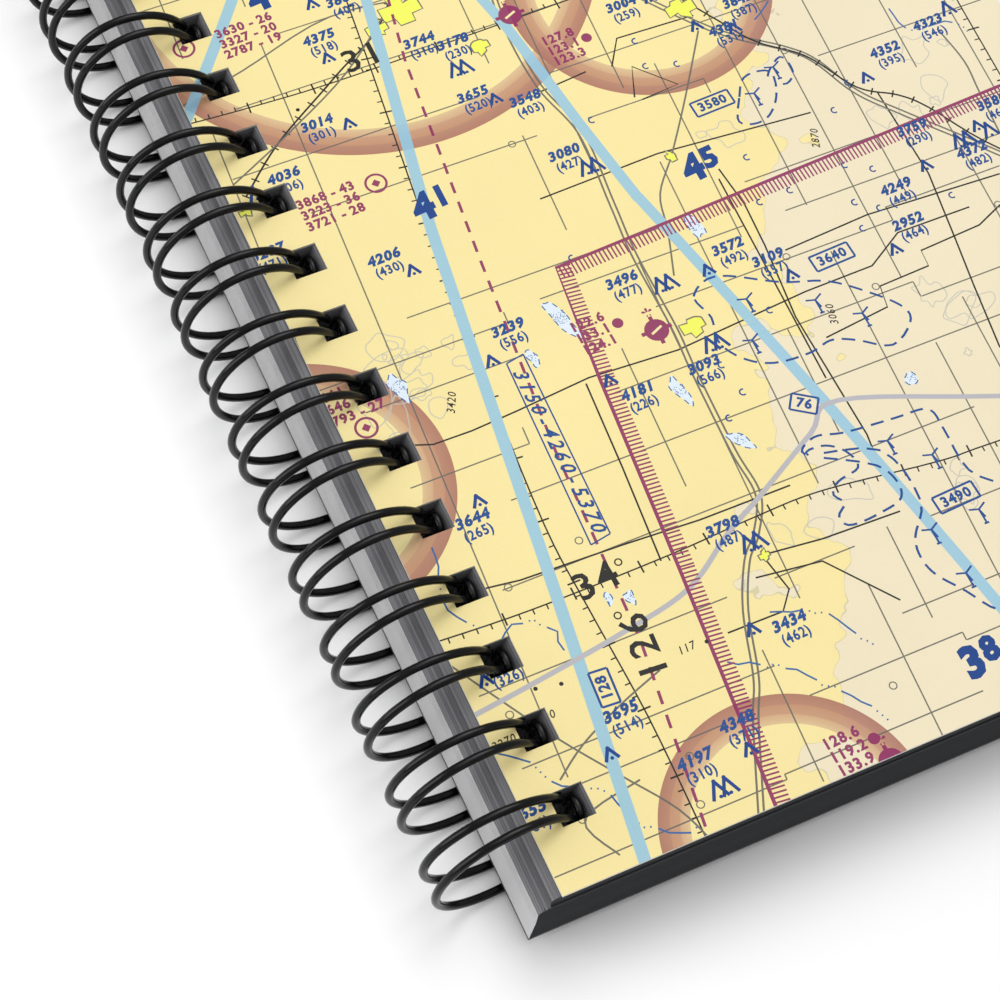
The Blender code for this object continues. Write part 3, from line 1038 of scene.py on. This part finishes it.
WIRE = 1.4 * MM                  # wire diameter
RING_R = 11.5 * MM               # to the middle of the wire
RING_X = SPINE_X + (HOLE_U - 11.15) * MM
RING_Z = RING_R + WIRE / 2       # the rings stand on the table
LEG_NEAR, LEG_FAR = 1.62 * MM, 2.28 * MM         # half the gap between a loop's legs
LEG_BEND = 0.9 * MM              # from the seam's straight run into a leg
SEAM_X, SEAM_Z = HOLE_X - 1.0 * MM, 16.8 * MM
TIP_X, TIP_Z = HOLE_X + 0.7 * MM, 15.9 * MM      # where a loop's rounded end begins
TIP_REACH = 0.95 * MM
BEND_STEPS, RING_STEPS, TIP_STEPS = 4, 56, 12
RING_FROM, RING_TO = 34.0, 372.0                 # the arc of a ring, in degrees
NARROWEST = 14.0                 # where on that arc the legs are closest


def lean_out(point, k):
    """The loops spread a little past their holes: the far side leans to the foot at the foot
    end and to the head at the head end."""
    far = min(max((HOLE_X - point.x) / (2 * RING_R), 0.0), 1.0)
    along = k / (LOOPS - 1)
    return point + Vector((-0.45 + 1.55 * along, -1.15 + 1.75 * along, 0)) * MM * far


def leg(y, side, k):
    """One leg of loop k, from the seam and around the ring to the loop's tip."""
    points = []
    for i in range(BEND_STEPS + 1):
        angle = math.pi / 2 * i / BEND_STEPS
        points.append(Vector((SEAM_X, y + side * (LEG_NEAR + LEG_BEND * (1 - math.sin(angle))),
                              SEAM_Z + LEG_BEND * (1 - math.cos(angle)))))
    for i in range(RING_STEPS + 1):
        angle = RING_FROM + (RING_TO - RING_FROM) * i / RING_STEPS
        spread = (1 - math.cos(math.radians(angle - NARROWEST))) / 2
        reach = LEG_NEAR + (LEG_FAR - LEG_NEAR) * spread
        points.append(Vector((RING_X + RING_R * math.cos(math.radians(angle)), y + side * reach,
                              RING_Z + RING_R * math.sin(math.radians(angle)))))
    return [lean_out(p, k) for p in points]


def wire_path():
    """The whole wire, loop after loop: out along one leg, round the tip and back."""
    path = []
    for k in range(LOOPS):
        y = FOOT_Y + hole_v(k) * MM
        path += leg(y, -1, k)
        for i in range(1, TIP_STEPS):
            angle = math.pi * i / TIP_STEPS
            along = TIP_REACH * math.sin(angle)
            path.append(Vector((TIP_X + 0.35 * along, y - LEG_NEAR * math.cos(angle),
                                TIP_Z + 0.94 * along)))
        path += leg(y, 1, k)[::-1]
    return path


def build_wire(material):
    path = wire_path()
    curve = bpy.data.curves.new("twin_loop_wire", "CURVE")
    curve.dimensions = "3D"
    line = curve.splines.new("POLY")
    line.points.add(len(path) - 1)
    for point, place in zip(line.points, path):
        point.co = (*place, 1.0)
    line.use_smooth = True
    curve.bevel_depth = WIRE / 2
    curve.bevel_resolution = 4
    curve.use_fill_caps = True
    obj = new_object("twin_loop_wire", curve, material)
    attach(obj, "wire")
    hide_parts("wire_binding")


# ---- the pieces ----

cover = printed_sheet("chart_cover", cover_low, cover_high, range(LOOPS),
                      (cover_material(), plain_card()))
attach(cover, "cover")
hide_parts("front_cover")

leaf_rng = random.Random(7)
slide_at, lean_at = read_table(SLIDE), read_table(LEAN)
page = leaf_material()
# painted shade: the upper leaves' spine edges are mid grey, and the foot, head and fore edges of
# all leaves are near black, where they stand in shade; the block's spine edge keeps the pale
# paper colour
fanned = [page, edge_material("leaf_edges_fanned_painted_shade", "#66666A", "#88888B"),
          edge_material("leaf_ends_upper_painted_shade", "#424345", "#4C4D4F")]
square = [page, edge_material("leaf_edges_square", "#C6C6C7", "#D0D0D1"),
          edge_material("leaf_ends_painted_shade", "#2C2D2F", "#343537")]
sheets("leaves_first", "first", FIRST_LEAVES, fanned, HOLE)
sheets("leaves_second", "second", SECOND_LEAVES, fanned, LEAF_HOLE)
for i in range(1, FAN_GROUPS + 1):
    sheets("leaves_fan_%d" % i, "fan_%d" % i, FAN_LEAVES, square, LEAF_HOLE)
for i in range(1, REST_SECTIONS + 1):
    sheets("leaves_rest_%02d" % i, "root", 1, square, LEAF_HOLE)
sheets("back_cover", "root", 1, [back_material()] * 3, LEAF_HOLE)
build_wire(wire_material())


# ---- camera, light and floor ----

def add_camera():
    data = bpy.data.cameras.new("camera")
    data.lens, data.sensor_width = 88.88, 36.0
    data.clip_start, data.clip_end = 0.01, 20.0    # metres
    obj = new_object("camera", data)
    forward = Vector((0.23648405, 0.39494046, -0.88774846)).normalized()
    up = Vector((0.34520011, 0.81990703, 0.45671583))
    right = forward.cross(up).normalized()
    up = right.cross(forward)
    turn = Matrix((right, up, -forward)).transposed().to_4x4()
    obj.matrix_world = Matrix.Translation((-0.134276, -0.197023, 0.358616)) @ turn
    bpy.context.scene.camera = obj


def add_light(name, place, size, power):
    """A square area light that faces the origin."""
    data = bpy.data.lights.new(name, "AREA")
    data.shape = "RECTANGLE"
    data.size = data.size_y = size
    data.energy = power
    obj = new_object(name, data)
    obj.location = place
    obj.rotation_euler = (-Vector(place)).to_track_quat("-Z", "Y").to_euler()


def add_floor():
    bm = bmesh.new()
    bmesh.ops.create_grid(bm, x_segments=1, y_segments=1, size=3.0)
    mesh = bpy.data.meshes.new("floor")
    bm.to_mesh(mesh)
    bm.free()
    m = Nodes("floor_white", 0.6)
    m.colour(srgb("#FCFCFC"))
    floor = new_object("floor", mesh, m.material)


add_camera()
add_floor()
add_light("key", (0.30, 0.38, 1.00), 0.7, 3.5)
add_light("top", (0.20, 0.10, 1.30), 1.3, 5.6)
add_light("fill", (-0.90, 0.15, 0.50), 0.8, 5.0)
world = bpy.data.worlds.new("studio")
world.use_nodes = True
world.node_tree.nodes["Background"].inputs[0].default_value = (1, 1, 1, 1)
world.node_tree.nodes["Background"].inputs[1].default_value = 0.46
bpy.context.scene.world = world
bpy.context.scene.view_settings.view_transform = "Standard"
